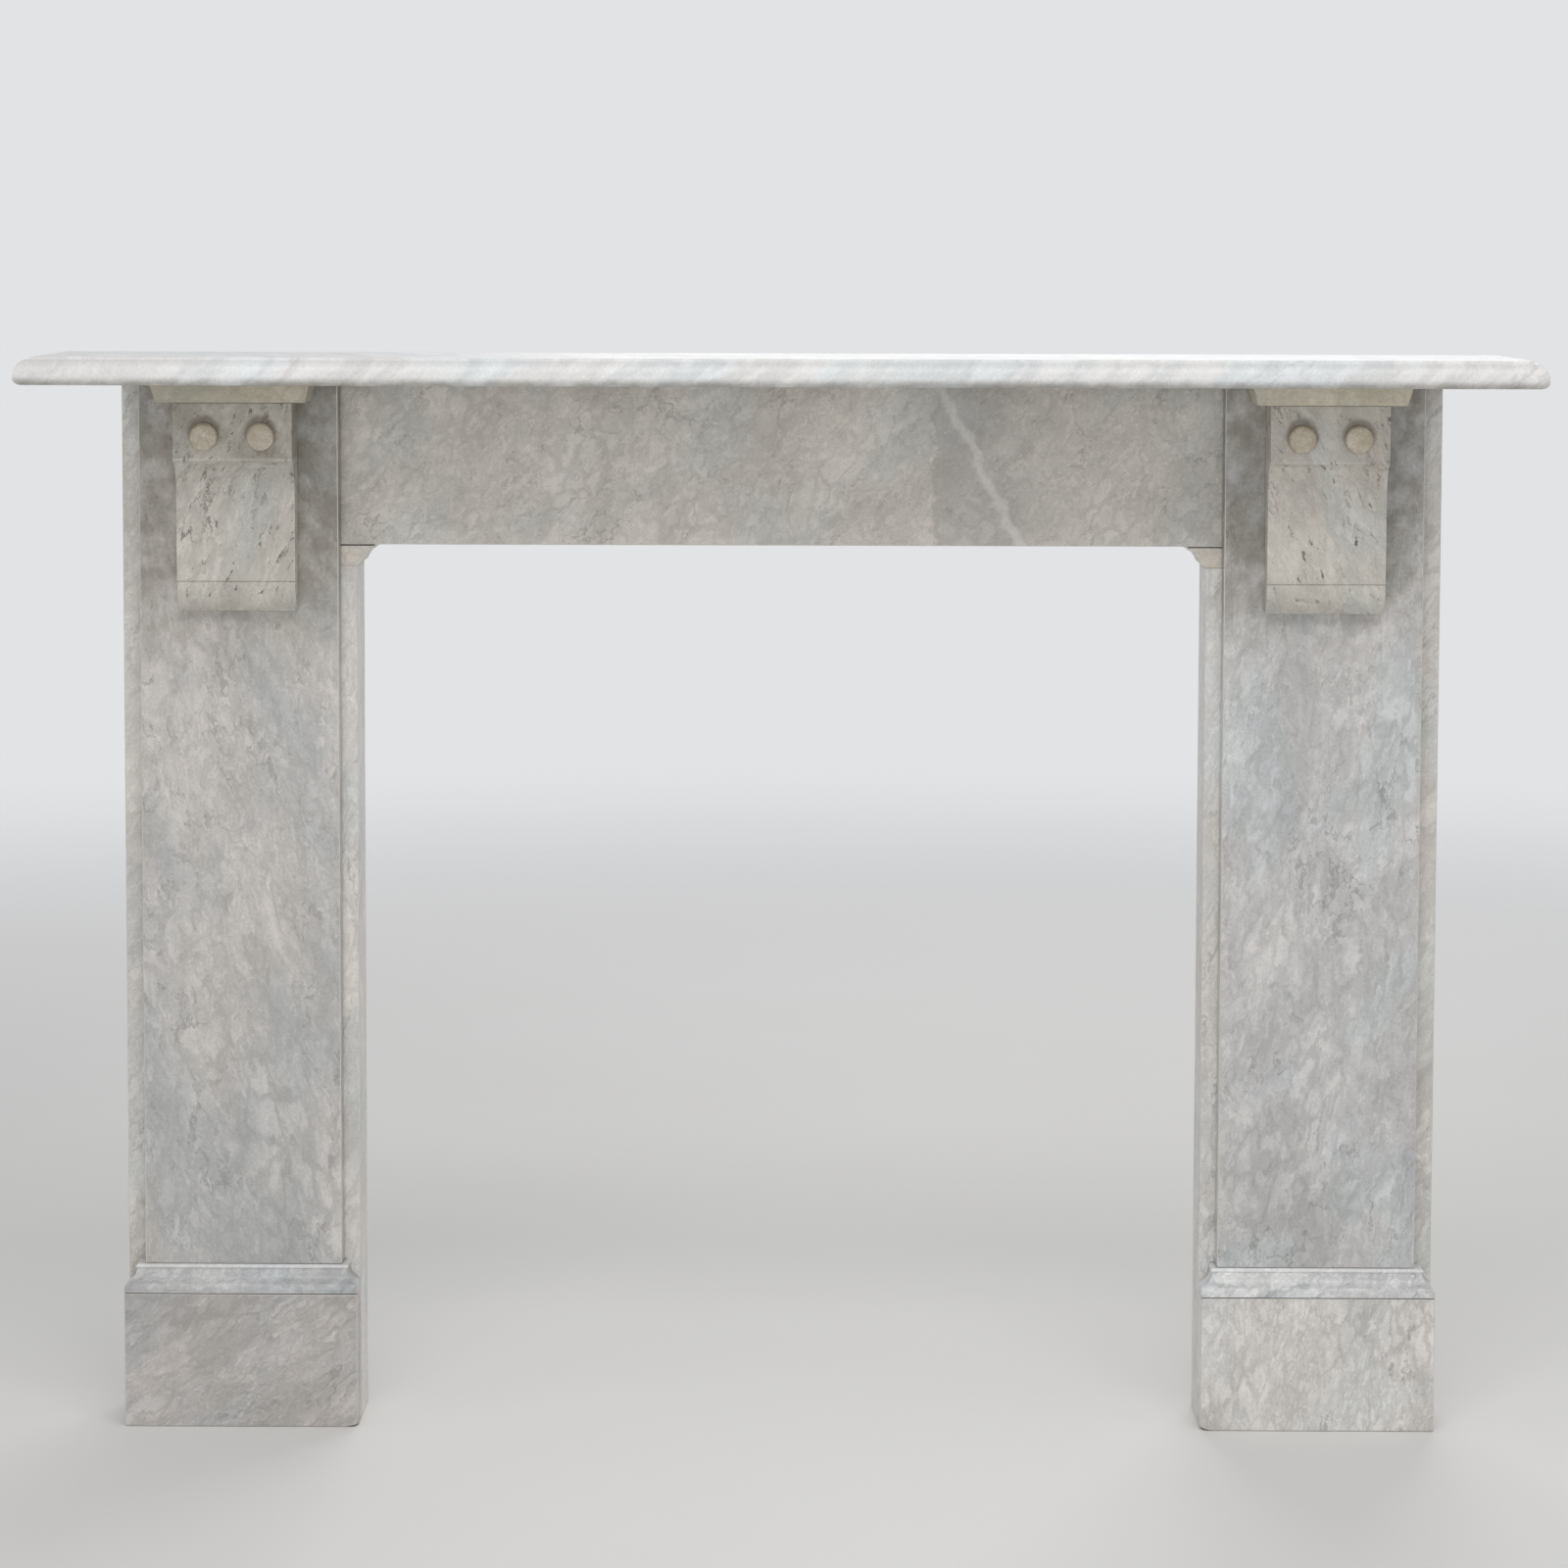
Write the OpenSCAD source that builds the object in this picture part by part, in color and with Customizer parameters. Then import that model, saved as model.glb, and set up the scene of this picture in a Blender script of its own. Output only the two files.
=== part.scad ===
// Marble fireplace mantel with corbelled jambs.
// Millimetres, +Z up, front towards -Y. The origin is on the floor, under the middle of the shelf.
// The wall face is the plane y = shelf_depth / 2, and "out" below is a distance out from that wall.

/* [Shelf] */
// Length of the shelf over its moulded ends
shelf_length = 1535; // [1500:5:1600]
// Depth of the shelf from the wall to its nosing
shelf_depth = 243; // [230:1:270]
// Thickness of the shelf
shelf_thick = 28; // [24:1:36]
// How far the moulded edge stands out past the flat top
shelf_edge_out = 14; // [8:1:16]
// Height of the shelf's underside above the floor
shelf_bottom = 1095; // [1040:5:1180]

/* [Opening] */
// Width of the fire opening between the inner returns
opening_width = 882; // [760:2:900]
// Height of the fire opening, up to the frieze
opening_height = 925; // [880:5:945]

/* [Jambs] */
// Width of each pilaster slab
pilaster_width = 206; // [190:2:210]
// Thickness of the pilaster slabs and of the frieze
slab_thick = 22; // [18:1:24]
// Thickness of the returns that run back to the wall
return_thick = 25; // [22:1:30]
// Depth of the returns, from the wall to their front edges
return_depth = 70; // [60:1:80]
// Width of the inner return that shows beside the pilaster
inner_strip = 17.5; // [14:0.5:20]
// Width of the outer return that shows beside the pilaster
outer_strip = 20.5; // [14:0.5:21]

/* [Return caps] */
// Height of the moulded caps on the inner returns
cap_height = 22; // [18:1:28]
// How far those caps stand out into the opening
cap_out = 17; // [14:1:20]

/* [Plinths] */
// Height of the plinth blocks
plinth_height = 141; // [120:1:160]
// Depth of a plinth block in front of the returns
plinth_thick = 37; // [34:1:45]
// Height of the moulding on top of each plinth block
base_height = 29; // [24:1:36]
// How far that moulding draws in from its foot to its top
base_draw_in = 14; // [12:1:14]

/* [Corbels] */
// Width of each corbel
corbel_width = 122; // [100:2:140]
// Height of each corbel under its cap
corbel_height = 216; // [190:2:240]
// How far the upper block of a corbel stands out from the pilaster
corbel_out = 47; // [40:1:54]
// Height of that upper block
corbel_head = 60; // [52:1:66]
// How far the shaft of a corbel stands out below the hollow
corbel_shaft_out = 24; // [20:1:28]
// How far the foot of a corbel stands out
corbel_foot_out = 10; // [8:1:14]
// Height of the moulded cap between corbel and shelf
corbel_cap_height = 21; // [18:1:26]
// How far that cap stands out past the corbel in front and at the sides
corbel_cap_out = 20; // [14:1:24]

/* [Roundels] */
// Diameter of the turned buttons on the corbels
roundel_dia = 29; // [22:1:34]
// How far a button stands out from the corbel
roundel_out = 7; // [5:1:10]
// Distance between the two buttons of a corbel, centre to centre
roundel_spacing = 58; // [44:2:64]
// Height of the buttons' centres above the foot of the corbel's upper block
roundel_rise = 26; // [24:1:30]

/* [Hidden] */

// Facets of each rounded stretch of a moulding
arc_steps = 8;

// Places across the jamb, as distances from the middle of the mantel
jamb_inner = opening_width / 2;
pilaster_inner = jamb_inner + inner_strip;
pilaster_outer = pilaster_inner + pilaster_width;
jamb_outer = pilaster_outer + outer_strip;
corbel_middle = (pilaster_inner + pilaster_outer) / 2;

// Places out from the wall
pilaster_front = return_depth + slab_thick;
plinth_front = return_depth + plinth_thick;
corbel_head_front = pilaster_front + corbel_out;

// Heights above the floor
base_top = plinth_height + base_height;
corbel_top = shelf_bottom - corbel_cap_height;
corbel_foot = corbel_top - corbel_height;
corbel_head_foot = corbel_top - corbel_head;

// The y of a place at a given distance out from the wall
function y_at(out) = shelf_depth / 2 - out;

// Points of an arc about a centre, with a radius of its own each way, in arc_steps steps
function arc(centre, radius, from, to) = [
    for (i = [0:arc_steps])
        let (a = from + (to - from) * i / arc_steps)
        [centre[0] + radius[0] * cos(a), centre[1] + radius[1] * sin(a)]
];

// A list of points without its first one, to carry on from where the list before it ends
function carry_on(points) = [for (i = [1:len(points) - 1]) points[i]];

// A plain slab between two places on each axis, with its depth given out from the wall
module slab(x, out, z) {
    translate([x[0], y_at(out[1]), z[0]])
        cube([x[1] - x[0], out[1] - out[0], z[1] - z[0]]);
}

// Runs a (y, z) outline along X, and an (x, z) outline out along Y from the wall
module run_along_x(x) {
    translate([x[0], 0, 0])
        rotate([90, 0, 90])
            linear_extrude(x[1] - x[0]) children();
}

module run_along_y(out) {
    translate([0, y_at(out[0]), 0])
        rotate([90, 0, 0])
            linear_extrude(out[1] - out[0]) children();
}

// A block moulded on its front and both ends, with true mitres at the corners. The profile is a
// list of [how far in from the outermost face, height], from the bottom up.
module moulded_block(x, out, profile) {
    bottom = profile[0][1];
    top = profile[len(profile) - 1][1];
    downward = [for (i = [len(profile) - 1:-1:0]) profile[i]];
    intersection() {
        run_along_x(x)
            polygon(concat(
                [[y_at(out[0]), bottom]],
                [for (p = profile) [y_at(out[1] - p[0]), p[1]]],
                [[y_at(out[0]), top]]
            ));
        run_along_y(out)
            polygon(concat(
                [for (p = profile) [x[1] - p[0], p[1]]],
                [for (p = downward) [x[0] + p[0], p[1]]]
            ));
    }
}

// Puts the right-hand piece in its place, or mirrors it over to the left
module on_right() {
    children();
}

module on_left() {
    mirror([1, 0, 0]) children();
}

// The shelf: one slab with a thumb-moulded edge under a small square step, on the front and ends
module shelf() {
    step = 2.5;
    ledge = 1;
    under_radius = 8;
    thumb_height = shelf_thick - step - under_radius;
    thumb_in = shelf_edge_out - ledge;
    thumb_start = 10; // degrees above the widest line, where the two curves meet
    widest = shelf_bottom + under_radius;
    profile = concat(
        arc([under_radius, widest], [under_radius, under_radius], -90, -180),
        arc([thumb_in, widest], [-thumb_in, thumb_height], thumb_start, 90),
        [[shelf_edge_out, shelf_bottom + shelf_thick - step]],
        [[shelf_edge_out, shelf_bottom + shelf_thick]]
    );
    color("#eeeeec")
        moulded_block([-shelf_length / 2, shelf_length / 2], [0, shelf_depth], profile);
}

// The frieze: a slab across the top of the opening, on the inner returns' caps
module frieze() {
    color("#b9b8b4")
        slab(
            [-jamb_inner - return_thick, jamb_inner + return_thick],
            [return_depth - slab_thick, return_depth],
            [opening_height, shelf_bottom]
        );
}

// The pilaster: the broad slab on the front of a jamb, standing on the base moulding
module pilaster() {
    color("#bcbdbd")
        slab(
            [pilaster_inner, pilaster_outer],
            [return_depth, pilaster_front],
            [base_top, shelf_bottom]
        );
}

// The inner return: a slab on edge that lines the side of the opening
module inner_return() {
    color("#c6c5c2")
        slab(
            [jamb_inner, jamb_inner + return_thick],
            [0, return_depth],
            [0, opening_height - cap_height]
        );
}

// The outer return: a slab on edge that closes the outside of the jamb, up to the shelf
module outer_return() {
    color("#b4b3b0")
        slab([jamb_outer - return_thick, jamb_outer], [0, return_depth], [0, shelf_bottom]);
}

// The cap of an inner return: a small block with a shallow hollow towards the opening, between a
// bead and a fillet. It carries the end of the frieze.
module return_cap() {
    foot = opening_height - cap_height;
    bead = 3;
    bead_out = 4;
    fillet = 4.5;
    ease = 1; // small set-back where each member of the moulding meets the next
    start = 25; // degrees, where the shallow hollow leaves the bead
    end = 65; // degrees, where it meets the fillet
    hollow_radius = [
        (cap_out - bead_out - ease) / (cos(start) - cos(end)),
        (cap_height - bead - fillet) / (sin(end) - sin(start))
    ];
    hollow_middle = [
        jamb_inner - bead_out - hollow_radius[0] * cos(start),
        foot + bead - hollow_radius[1] * sin(start)
    ];
    color("#d8d3c4")
        run_along_y([0, return_depth])
            polygon(concat(
                [
                    [jamb_inner + return_thick, foot],
                    [jamb_inner, foot],
                    [jamb_inner - bead_out + ease, foot + bead]
                ],
                arc(hollow_middle, hollow_radius, start, end),
                [
                    [jamb_inner - cap_out, opening_height - fillet],
                    [jamb_inner - cap_out, opening_height],
                    [jamb_inner + return_thick, opening_height]
                ]
            ));
}

// The plinth: a plain block in front of the returns, on the floor
module plinth() {
    color("#bdbdbb")
        slab([jamb_inner, jamb_outer], [return_depth, plinth_front], [0, plinth_height]);
}

// The base moulding on a plinth: an upright face, a swelling that turns into a hollow, and a small
// round bead at the top, mitred round three sides
module base_mould() {
    face = 5;
    swell = [6, 7]; // how far the swelling would draw in and rise over a full quarter turn
    turn = 60; // degrees, where the swelling turns into the hollow and where the hollow starts
    bead = 5;
    bead_in = 3.2;
    bead_lip = 50; // degrees below its widest, where the bead stands on the hollow
    bead_top = 70; // degrees above its widest, where the bead ends
    hollow_in = base_draw_in - bead_in * cos(bead_lip);
    hollow_top = base_height - bead / 2 * (1 + sin(bead_lip));
    meet = [swell[0] * (1 - cos(turn)), face + swell[1] * sin(turn)];
    hollow_radius = [(hollow_in - meet[0]) / (1 - cos(turn)), (hollow_top - meet[1]) / sin(turn)];
    profile = concat(
        [[0, 0]],
        arc([swell[0], face], [-swell[0], swell[1]], 0, turn),
        carry_on(arc([hollow_in - hollow_radius[0], hollow_top], hollow_radius, -turn, 0)),
        carry_on(arc([base_draw_in, base_height - bead / 2], [-bead_in, bead / 2],
            -bead_lip, bead_top)),
        [[base_draw_in, base_height]]
    );
    color("#d2d3d2")
        translate([0, 0, plinth_height])
            moulded_block([jamb_inner, jamb_outer], [return_depth, plinth_front], profile);
}

// The corbel: a bracket with a square head, a hollow under it, a long shaft with a fine groove
// across it, and a foot that curves back to the pilaster
module corbel() {
    hollow_height = 34;
    hollow_in = corbel_out - corbel_shaft_out;
    hollow_foot = corbel_head_foot - hollow_height;
    hollow_end = 86; // degrees, where the hollow meets the head
    lip = 1;
    shaft_taper = 1;
    shaft_face = corbel_shaft_out - shaft_taper;
    foot_height = 31;
    groove = corbel_foot + foot_height;
    groove_depth = 1.2;
    foot_curve = foot_height - groove_depth;
    foot_draw_in = shaft_face - corbel_foot_out;
    foot_radius = (foot_curve * foot_curve + foot_draw_in * foot_draw_in) / (2 * foot_draw_in);
    outline = concat(
        [[0, corbel_top], [0, corbel_foot]],
        arc([shaft_face - foot_radius, groove - groove_depth], [foot_radius, foot_radius],
            -asin(foot_curve / foot_radius), 0),
        [[shaft_face - groove_depth, groove]],
        [[shaft_face, groove + groove_depth]],
        arc([corbel_out, hollow_foot], [-hollow_in, hollow_height], 0, hollow_end),
        [[corbel_out, corbel_head_foot + lip]],
        [[corbel_out, corbel_top]]
    );
    color("#d5d2c8")
        run_along_x([corbel_middle - corbel_width / 2, corbel_middle + corbel_width / 2])
            polygon([for (p = outline) [y_at(pilaster_front + p[0]), p[1]]]);
}

// The cap of a corbel: a splayed moulding with a rounded lower edge, under a thin fillet that
// meets the shelf
module corbel_cap() {
    splay_in = 4.5;
    fillet = 2.5;
    edge_radius = 2;
    edge_turn = 10; // degrees short of upright, where the rounded edge meets the splay
    edge_middle = [splay_in + edge_radius, corbel_top + edge_radius];
    half_width = corbel_width / 2 + corbel_cap_out;
    profile = concat(
        arc(edge_middle, [-edge_radius, edge_radius], -90, -edge_turn),
        [[0, shelf_bottom - fillet]],
        [[0, shelf_bottom]]
    );
    color("#d6d0bf")
        moulded_block(
            [corbel_middle - half_width, corbel_middle + half_width],
            [pilaster_front, corbel_head_front + corbel_cap_out],
            profile
        );
}

// A roundel: a turned button with a straight edge and a low domed face, set beside the middle of
// the corbel's head
module roundel(side) {
    radius = roundel_dia / 2;
    edge = roundel_out / 2;
    color("#dcd5c2")
        translate([
            corbel_middle + side * roundel_spacing / 2,
            y_at(corbel_head_front),
            corbel_head_foot + roundel_rise
        ])
            rotate([90, 0, 0])
                rotate_extrude($fn = 96)
                    polygon(concat(
                        [[0, 0], [radius, 0]],
                        arc([0, edge], [radius, roundel_out - edge], 0, 90)
                    ));
}

shelf();
frieze();
on_left() pilaster();  // left_pilaster
on_right() pilaster();  // right_pilaster
on_left() inner_return();  // left_inner_return
on_right() inner_return();  // right_inner_return
on_left() outer_return();  // left_outer_return
on_right() outer_return();  // right_outer_return
on_left() return_cap();  // left_return_cap
on_right() return_cap();  // right_return_cap
on_left() plinth();  // left_plinth
on_right() plinth();  // right_plinth
on_left() base_mould();  // left_base_mould
on_right() base_mould();  // right_base_mould
on_left() corbel();  // left_corbel
on_right() corbel();  // right_corbel
on_left() corbel_cap();  // left_corbel_cap
on_right() corbel_cap();  // right_corbel_cap
on_left() roundel(1);  // left_outer_roundel
on_left() roundel(-1);  // left_inner_roundel
on_right() roundel(-1);  // right_inner_roundel
on_right() roundel(1);  // right_outer_roundel
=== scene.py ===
# A Carrara marble chimneypiece, put together from the floor up: plinths, returns, base mouldings,
# pilasters, return caps, frieze, corbels with their buttons and caps, and last the shelf.
from math import asin, cos, degrees, radians, sin

import bmesh
import bpy
from mathutils import Matrix, Vector, noise


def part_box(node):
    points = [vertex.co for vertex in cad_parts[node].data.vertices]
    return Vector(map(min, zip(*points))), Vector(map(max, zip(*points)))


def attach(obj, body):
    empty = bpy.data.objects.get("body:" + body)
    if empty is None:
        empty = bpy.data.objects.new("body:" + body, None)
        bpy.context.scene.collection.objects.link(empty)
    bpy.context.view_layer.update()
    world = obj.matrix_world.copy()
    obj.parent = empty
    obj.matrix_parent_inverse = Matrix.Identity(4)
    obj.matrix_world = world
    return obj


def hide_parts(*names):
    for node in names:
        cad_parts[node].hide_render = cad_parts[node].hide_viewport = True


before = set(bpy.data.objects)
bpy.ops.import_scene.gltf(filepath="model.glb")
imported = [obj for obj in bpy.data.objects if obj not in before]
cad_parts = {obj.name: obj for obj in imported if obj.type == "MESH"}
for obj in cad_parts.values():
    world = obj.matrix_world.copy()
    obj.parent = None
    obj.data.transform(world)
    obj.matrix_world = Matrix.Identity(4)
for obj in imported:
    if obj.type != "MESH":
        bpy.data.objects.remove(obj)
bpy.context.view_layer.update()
scene = bpy.context.scene

# --- Camera -----------------------------------------------------------------------------------
# A long lens four and a half metres off, a little above the shelf and just right of the middle,
# looks slightly down at a chimneypiece that stands free on a showroom floor.
camera = bpy.data.cameras.new("camera")
camera.lens = 100.75
camera.sensor_width = 36
camera.shift_y = -0.13
camera_object = bpy.data.objects.new("camera", camera)
camera_object.location = (0.034, -4.5, 1.24)
look_down, look_left, roll = 4.41, 0.39, 0.15
camera_object.rotation_euler = (
    Matrix.Rotation(radians(look_left), 3, "Z")
    @ Matrix.Rotation(radians(90 - look_down), 3, "X")
    @ Matrix.Rotation(radians(roll), 3, "Z")
).to_euler()
scene.collection.objects.link(camera_object)
scene.camera = camera_object
scene.view_settings.view_transform = "Standard"

# --- Studio -----------------------------------------------------------------------------------
# A pale painted floor that fades into a pale surround, and large soft lamps: a broad low one in
# front, one above, a weaker one at each side, and one behind for the hidden faces.
def srgb(hex_code):
    """A colour written as sRGB hex, in the linear values that shaders take."""
    parts = [int(hex_code[i:i + 2], 16) / 255 for i in (0, 2, 4)]
    return [p / 12.92 if p <= 0.04045 else ((p + 0.055) / 1.055) ** 2.4 for p in parts] + [1.0]


def add_node(tree, kind, inputs=None, **settings):
    """Adds a node, gives it its settings, and sets or links its inputs. A colour Mix has its factor
    at input 0, its two colours at inputs 6 and 7, and the result at output 2."""
    node = tree.nodes.new(kind)
    for name, value in settings.items():
        setattr(node, name, value)
    for name, value in (inputs or {}).items():
        if isinstance(value, bpy.types.NodeSocket):
            tree.links.new(value, node.inputs[name])
        else:
            node.inputs[name].default_value = value
    return node


def new_material(name):
    """An empty material with nodes, and its node tree."""
    material = bpy.data.materials.new(name)
    material.use_nodes = True
    material.node_tree.nodes.clear()
    return material, material.node_tree


FLOOR_RADIUS = 9.0
FADE_START, FADE_END = 1.6, 6.0  # how far off the floor starts to clear, and is gone
floor_bm = bmesh.new()
bmesh.ops.create_circle(floor_bm, cap_ends=True, radius=FLOOR_RADIUS, segments=96)
floor_mesh = bpy.data.meshes.new("floor")
floor_bm.to_mesh(floor_mesh)
floor_bm.free()
floor = bpy.data.objects.new("floor", floor_mesh)
scene.collection.objects.link(floor)

# Floor paint: a matt off-white with faint clouds. It turns clear well before the floor's edge, so
# that no edge shows against the surround.
floor_material, tree = new_material("pale_floor")
floor_place = add_node(tree, "ShaderNodeTexCoord").outputs["Object"]
floor_distance = add_node(tree, "ShaderNodeVectorMath", {0: floor_place}, operation="LENGTH")
floor_fade = add_node(
    tree, "ShaderNodeMapRange",
    {"Value": floor_distance.outputs["Value"], "From Min": FADE_START, "From Max": FADE_END},
    interpolation_type="SMOOTHSTEP",
)
floor_cloud = add_node(
    tree, "ShaderNodeTexNoise", {"Vector": floor_place, "Scale": 1.7, "Detail": 4.0}
)
floor_tone = add_node(
    tree, "ShaderNodeMix",
    {0: floor_cloud.outputs["Fac"], 6: srgb("ecebe7"), 7: srgb("f1f0ee")}, data_type="RGBA",
)
floor_shader = add_node(
    tree, "ShaderNodeBsdfPrincipled", {"Base Color": floor_tone.outputs[2], "Roughness": 0.6}
)
floor_clear = add_node(tree, "ShaderNodeBsdfTransparent")
floor_mix = add_node(
    tree, "ShaderNodeMixShader",
    {0: floor_fade.outputs["Result"], 1: floor_shader.outputs[0], 2: floor_clear.outputs[0]},
)
add_node(tree, "ShaderNodeOutputMaterial", {"Surface": floor_mix.outputs[0]})
floor_mesh.materials.append(floor_material)

# The surround is one tone where it is seen directly or in a reflection, and a weaker one where it
# only lights the stone.
world = bpy.data.worlds.new("studio")
scene.world = world
world.use_nodes = True
tree = world.node_tree
tree.nodes.clear()
ray = add_node(tree, "ShaderNodeLightPath").outputs
seen = add_node(
    tree, "ShaderNodeMath", {0: ray["Is Camera Ray"], 1: ray["Is Glossy Ray"]},
    operation="MAXIMUM",
)
seen_or_through = add_node(
    tree, "ShaderNodeMath", {0: seen.outputs[0], 1: ray["Is Transmission Ray"]},
    operation="MAXIMUM",
)
room_light = add_node(
    tree, "ShaderNodeBackground", {"Color": srgb("f6f6fa"), "Strength": 0.35}
)
surround = add_node(tree, "ShaderNodeBackground", {"Color": srgb("e2e3e5"), "Strength": 1.0})
world_mix = add_node(
    tree, "ShaderNodeMixShader",
    {0: seen_or_through.outputs[0], 1: room_light.outputs[0], 2: surround.outputs[0]},
)
add_node(tree, "ShaderNodeOutputWorld", {"Surface": world_mix.outputs[0]})

MANTEL_MIDDLE = Vector((0.0, 0.0, 0.6))  # where all the lamps point
for name, place, size, watts in (
    ("front_lamp", (-0.4, -3.9, 1.0), (3.0, 1.4), 23.5),
    ("upper_lamp", (0.2, -1.9, 3.2), (2.8, 1.0), 33.5),
    ("left_lamp", (-3.4, -1.6, 1.7), (2.4, 2.4), 10.0),
    ("right_lamp", (3.4, -1.8, 1.7), (2.4, 2.4), 12.0),
    ("back_lamp", (0.6, 3.2, 2.8), (2.4, 1.8), 34.0),
):
    lamp = bpy.data.lights.new(name, "AREA")
    lamp.shape = "RECTANGLE"
    lamp.size, lamp.size_y = size
    lamp.energy = watts
    lamp_object = bpy.data.objects.new(name, lamp)
    lamp_object.location = place
    lamp_object.rotation_euler = (MANTEL_MIDDLE - Vector(place)).to_track_quat("-Z", "Y").to_euler()
    scene.collection.objects.link(lamp_object)

# --- Plinths ----------------------------------------------------------------------------------
# Two plain blocks of sawn and honed grey-white Carrara, one at the foot of each jamb. They stand
# on the floor in front of the returns. Their arrises are worn and their inner toes are chipped.
MM = 0.001  # a millimetre, in metres
GRID = 6 * MM  # the size of the small squares that the faces are cut into
WIDEST_WEAR = 2.0 * MM  # the most that an arris is worn away
ARRIS_ANGLE = radians(28)  # a sharper edge than this is an arris, and wears


def cut_across(bm, axis):
    """Cuts evenly across all the edges that run along one axis, by loop cuts."""
    along = [
        e for e in bm.edges
        if abs((e.verts[1].co - e.verts[0].co)[axis]) > 0.999 * e.calc_length()
        and e.calc_length() > 1.5 * GRID
    ]
    if along:
        longest = max(e.calc_length() for e in along)
        bmesh.ops.subdivide_edges(
            bm, edges=along, cuts=round(longest / GRID) - 1, use_grid_fill=True
        )


def sawn_slab(node):
    """A bmesh of a plain slab in a node's box, cut into a fine grid."""
    low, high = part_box(node)
    bm = bmesh.new()
    bmesh.ops.create_cube(bm, size=1)
    bmesh.ops.scale(bm, vec=Vector(high) - Vector(low), verts=bm.verts)
    bmesh.ops.translate(bm, vec=(Vector(high) + Vector(low)) / 2, verts=bm.verts)
    for axis in range(3):
        cut_across(bm, axis)
    return bm


def knock_corner(bm, corner, middle, reach, depth):
    """Breaks stone off round a corner: nearby vertices sink towards the middle of the piece."""
    inward = (middle - corner).normalized()
    for vert in bm.verts:
        near = 1 - (vert.co - corner).length / reach
        if near > 0:
            ragged = 1 + 0.4 * noise.noise(vert.co * 300)
            vert.co += inward * depth * near * ragged


def finish_piece(name, bm, nodes, materials, wear=1.0):
    """Makes the piece's object. A bevel of wandering width wears each arris, and shows the second
    material, the bruised stone with its painted highlight. Hollow corners stay crisp. The width
    drifts along the arris, with small nibbles here and there, and wear scales it."""
    bmesh.ops.recalc_face_normals(bm, faces=bm.faces)
    weight = bm.edges.layers.float.new("bevel_weight_edge")
    for face in bm.faces:
        face.smooth = True
    for edge in bm.edges:
        if len(edge.link_faces) == 2 and edge.calc_face_angle() > ARRIS_ANGLE:
            edge.smooth = edge.is_convex
            if edge.is_convex:
                at = (edge.verts[0].co + edge.verts[1].co) / 2
                slow = noise.noise(at * 18 + Vector((7.1, 3.3, len(name))))
                quick = noise.noise(at * 130)
                nibble = max(0.0, quick - 0.35) * 1.6
                share = 0.42 + 0.18 * slow + 0.16 * quick + nibble
                edge[weight] = min(1.0, wear * share)
    mesh = bpy.data.meshes.new(name)
    bm.to_mesh(mesh)
    bm.free()
    for material in materials:
        mesh.materials.append(material)
    piece = bpy.data.objects.new(name, mesh)
    scene.collection.objects.link(piece)
    arris = piece.modifiers.new("worn_arris", "BEVEL")
    arris.limit_method = "WEIGHT"
    arris.width = WIDEST_WEAR
    arris.segments = 2
    # The bevel faces take the second material: bruised stone with a painted highlight
    arris.material = 1
    arris.harden_normals = True
    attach(piece, "root")
    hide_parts(*nodes)
    return piece


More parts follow.
